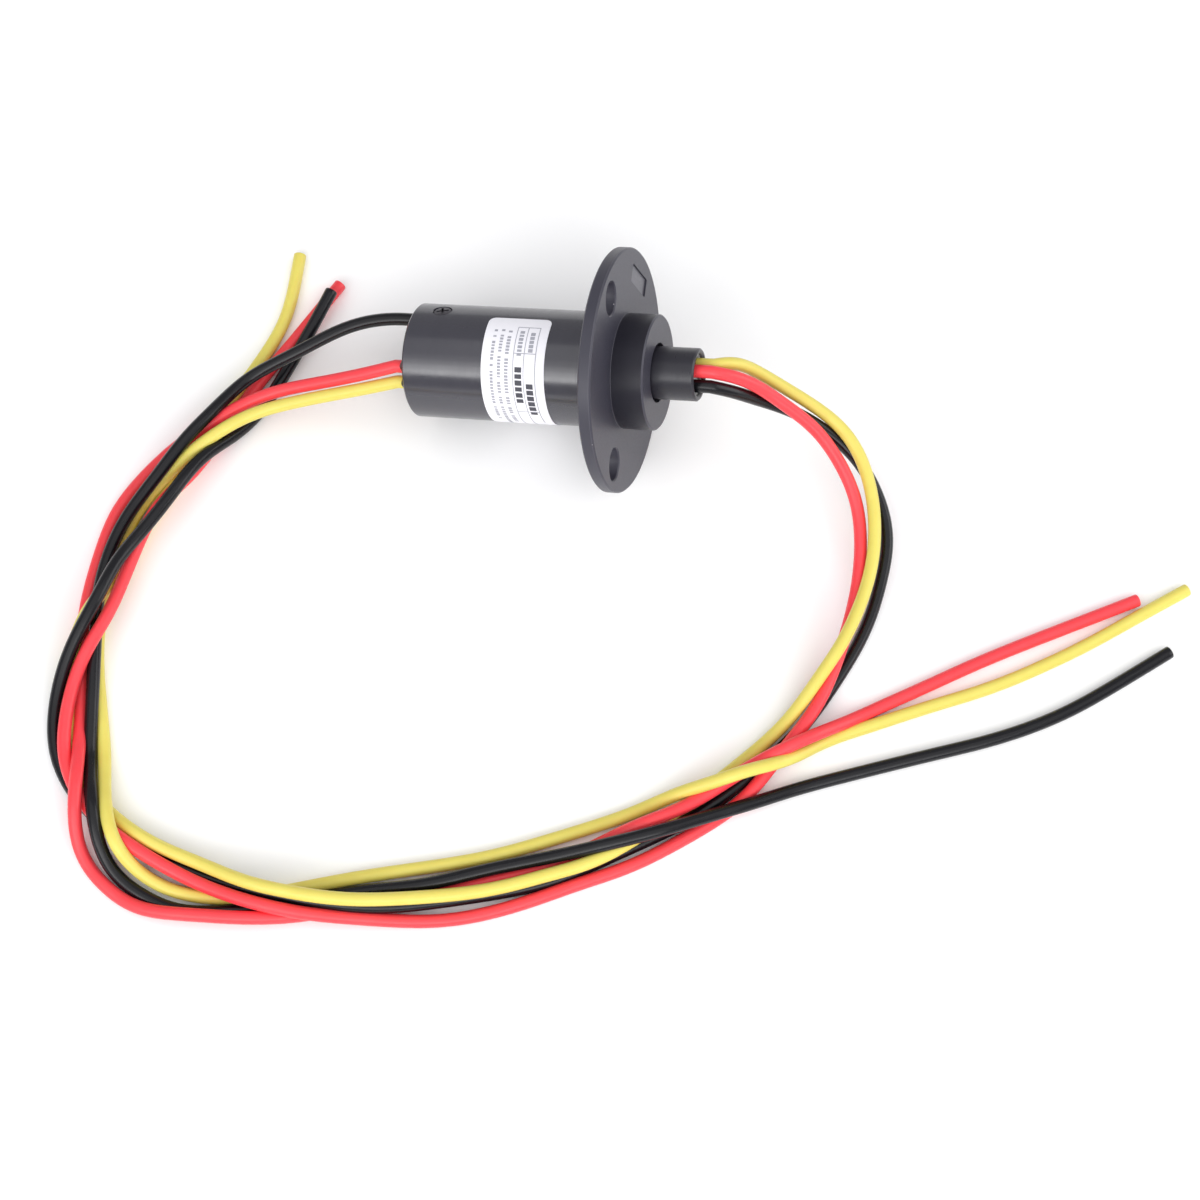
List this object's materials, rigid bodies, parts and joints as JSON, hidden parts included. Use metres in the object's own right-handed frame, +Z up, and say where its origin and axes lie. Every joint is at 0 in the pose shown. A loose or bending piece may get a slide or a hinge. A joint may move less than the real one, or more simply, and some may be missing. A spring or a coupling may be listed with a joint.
{
  "type": "slip ring",
  "caption": "Small capsule slip ring: a flanged tubular stator with a hollow rotor shaft that turns in ball bearings, with flexible colour-coded leads on both sides.",
  "frame": {"origin": "on the surface it lies on, under the middle of the body without its leads", "axes": "+Z up; +X from the housing's rear towards the shaft; the shaft's axis climbs towards +X"},
  "size_m": [0.2013, 0.1331, 0.043],
  "materials": {
    "housing": "glossy black",
    "flange": "fine matte",
    "shaft": "satin",
    "label": "smooth",
    "bearing_steel": "ground",
    "bearing_cage": "stamped",
    "contact_metal": "polished, plated",
    "insulator": "moulded",
    "brush_board": "laminate",
    "lead_red": "soft satin",
    "lead_black": "soft satin",
    "lead_yellow": "soft satin"
  },
  "bodies": {
    "stator": {"housing_tube": "housing", "front_flange": "flange", "rear_cap": "flange", "cap_screws": "bearing_steel", "label": "label", "exit_potting": "insulator", "front_bearing_outer_ring": "bearing_steel", "rear_bearing_outer_ring": "bearing_steel", "brush_block_1": "brush_board", "brush_block_2": "brush_board", "brush_wires_1": "contact_metal", "brush_wires_2": "contact_metal", "stator_lead_red_inner": "lead_red", "stator_lead_black_inner": "lead_black", "stator_lead_yellow_inner": "lead_yellow", "stator_conductors": "contact_metal", "stator_lead_red": "lead_red", "stator_lead_black": "lead_black", "stator_lead_yellow": "lead_yellow", "rotor_lead_red": "lead_red", "rotor_lead_black": "lead_black", "rotor_lead_yellow": "lead_yellow"},
    "rotor": {"rotor_core": "shaft", "retaining_clip": "bearing_steel", "contact_ring_1": "contact_metal", "contact_ring_2": "contact_metal", "contact_ring_3": "contact_metal", "barrier_1": "insulator", "barrier_2": "insulator", "barrier_3": "insulator", "barrier_4": "insulator", "front_bearing_inner_ring": "bearing_steel", "rear_bearing_inner_ring": "bearing_steel", "rotor_lead_red_inner": "lead_red", "rotor_lead_black_inner": "lead_black", "rotor_lead_yellow_inner": "lead_yellow", "rotor_conductors": "contact_metal", "mouth_potting": "insulator"},
    "front_cage": {"front_bearing_balls": "bearing_steel", "front_bearing_cage": "bearing_cage"},
    "rear_cage": {"rear_bearing_balls": "bearing_steel", "rear_bearing_cage": "bearing_cage"}
  },
  "joints": [
    {"name": "rotor_spin", "type": "hinge", "parent": "stator", "child": "rotor", "pos_m": [0.01092, 0, 0.02114], "axis": [0.9543, 0, 0.299], "continuous": true},
    {"name": "front_cage_spin", "type": "hinge", "parent": "stator", "child": "front_cage", "pos_m": [0.0156, 0, 0.02261], "axis": [0.9543, 0, 0.299], "continuous": true},
    {"name": "rear_cage_spin", "type": "hinge", "parent": "stator", "child": "rear_cage", "pos_m": [-0.01866, 0, 0.01187], "axis": [0.9543, 0, 0.299], "continuous": true}
  ],
  "couplings": [
    {"joint": "front_cage_spin", "follows": "rotor_spin", "ratio": 0.44},
    {"joint": "rear_cage_spin", "follows": "rotor_spin", "ratio": 0.3846}
  ]
}
